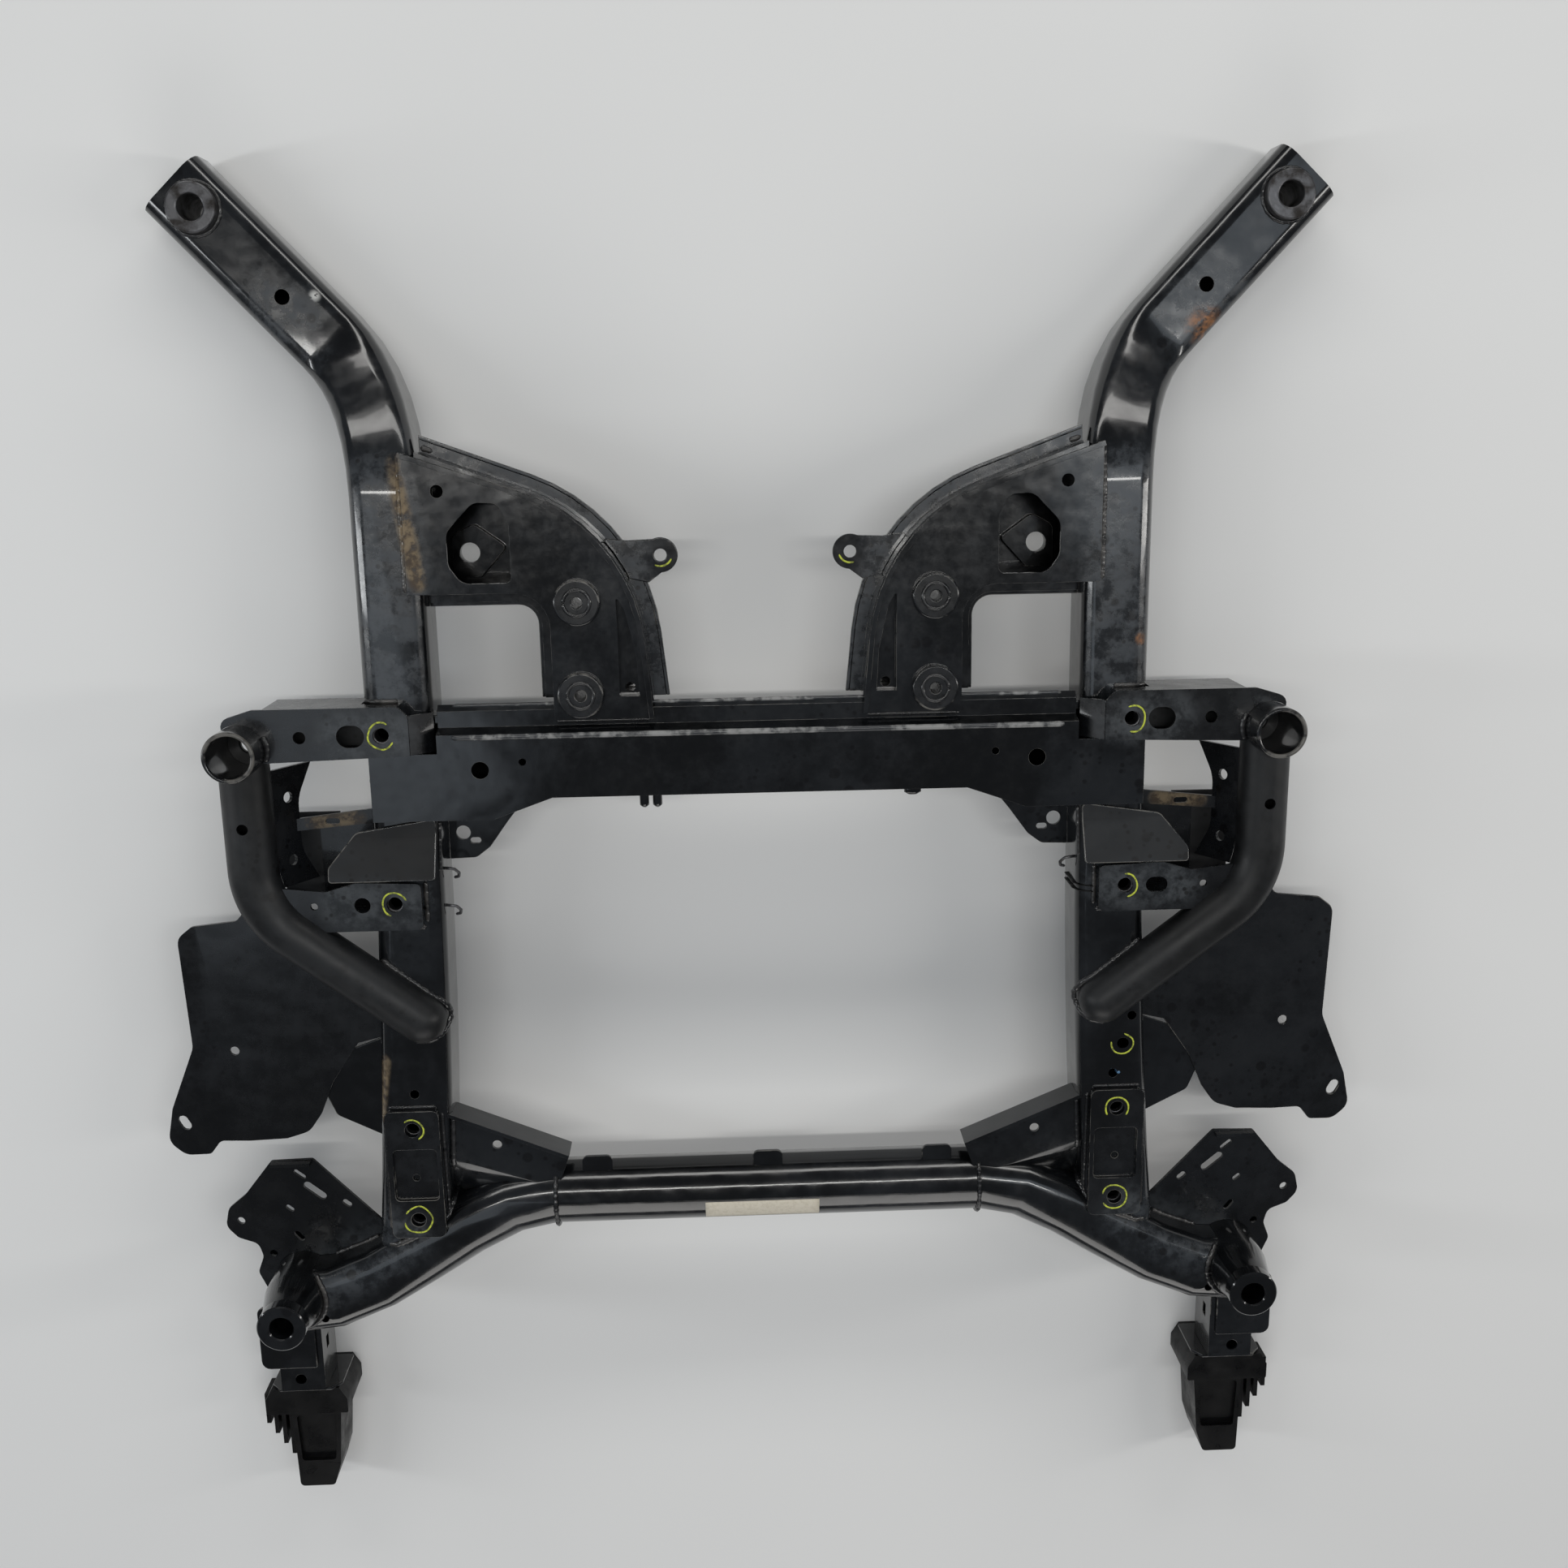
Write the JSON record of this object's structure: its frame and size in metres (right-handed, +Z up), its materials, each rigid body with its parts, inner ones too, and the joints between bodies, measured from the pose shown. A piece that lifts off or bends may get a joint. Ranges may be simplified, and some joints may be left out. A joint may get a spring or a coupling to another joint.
{
  "type": "subframe",
  "caption": "Front subframe of a car: hollow side rails with spread rear arms, a crossmember, a bent front cross tube, mount sleeves, brackets and plastic crush feet.",
  "frame": {"origin": "bottom centre of the part's box, on the ground", "axes": "+X to the picture's right, which is the car's left; +Y to the rear of the car; +Z up, as the part is bolted under the body. Left and right in node names are the picture's sides"},
  "size_m": [1.0514, 1.1804, 0.165],
  "materials": {
    "ecoat_black": "satin",
    "ecoat_worn": "satin",
    "bare_steel": "satin",
    "black_plastic": "satin"
  },
  "bodies": {
    "root": {"rear_arm_left": "ecoat_black", "rear_arm_right": "ecoat_black", "rear_sleeve_left": "bare_steel", "rear_sleeve_right": "bare_steel", "panel_upper_left": "ecoat_black", "panel_upper_right": "ecoat_black", "panel_lower_left": "ecoat_black", "panel_lower_right": "ecoat_black", "panel_ear_left": "ecoat_black", "panel_ear_right": "ecoat_black", "upper_bracket_left": "ecoat_worn", "upper_bracket_right": "ecoat_worn", "lower_bracket_left": "ecoat_worn", "lower_bracket_right": "ecoat_worn", "web_plate_left": "ecoat_worn", "web_plate_right": "ecoat_worn", "slotted_plate_left": "ecoat_worn", "slotted_plate_right": "ecoat_worn", "leg_left": "ecoat_black", "leg_right": "ecoat_black", "middle_sleeve_left": "ecoat_black", "middle_sleeve_right": "ecoat_black", "wing_left": "ecoat_worn", "wing_right": "ecoat_worn", "wing_gusset_left": "ecoat_black", "wing_gusset_right": "ecoat_black", "front_rail_left": "ecoat_black", "front_rail_right": "ecoat_black", "roll_bar_seat_left": "ecoat_worn", "roll_bar_seat_right": "ecoat_worn", "engine_gusset_left": "ecoat_black", "engine_gusset_right": "ecoat_black", "brace_left": "ecoat_black", "brace_right": "ecoat_black", "tube_gusset_left": "ecoat_black", "tube_gusset_right": "ecoat_black", "front_sleeve_left": "ecoat_black", "front_sleeve_right": "ecoat_black", "shield_bracket_left": "ecoat_worn", "shield_bracket_right": "ecoat_worn", "foot_column_left": "ecoat_black", "foot_column_right": "ecoat_black", "saddle_plate_left": "ecoat_black", "saddle_plate_right": "ecoat_black", "foot_flange_left": "ecoat_black", "foot_flange_right": "ecoat_black", "foot_left": "black_plastic", "foot_right": "black_plastic", "mount_collars": "ecoat_worn", "crossmember_upper": "ecoat_black", "crossmember_lower": "ecoat_black", "front_tube": "ecoat_black", "tube_tabs": "ecoat_black", "bracket_nuts": "bare_steel", "seat_nuts": "bare_steel"}
  },
  "joints": []
}
